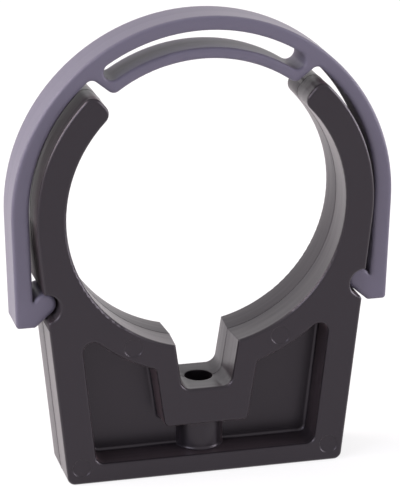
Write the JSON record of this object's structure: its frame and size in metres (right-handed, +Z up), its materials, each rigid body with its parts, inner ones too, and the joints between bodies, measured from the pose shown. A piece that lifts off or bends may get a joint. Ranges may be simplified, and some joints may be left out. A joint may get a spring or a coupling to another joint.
{
  "type": "pipe clip",
  "caption": "Moulded pipe clip: a screw-down cradle with a round pipe seat and sprung arms, closed by a retaining strap that hooks into grooves on its flanks.",
  "frame": {"origin": "centre of the mounting face, under the screw hole", "axes": "+X across the clip, +Y along the pipe towards the back face, +Z up from the mounting face to the strap's crown"},
  "size_m": [0.086, 0.016, 0.1049],
  "materials": {
    "base_plastic": "fine matt moulded, charcoal",
    "strap_plastic": "satin moulded, blue-grey"
  },
  "bodies": {
    "base": {"base": "base_plastic"},
    "strap": {"strap": "strap_plastic"}
  },
  "joints": [
    {"name": "strap_slide", "type": "slide", "parent": "base", "child": "strap", "axis": [0, 1, 0], "range_m": [-0.013, 0.013]}
  ]
}
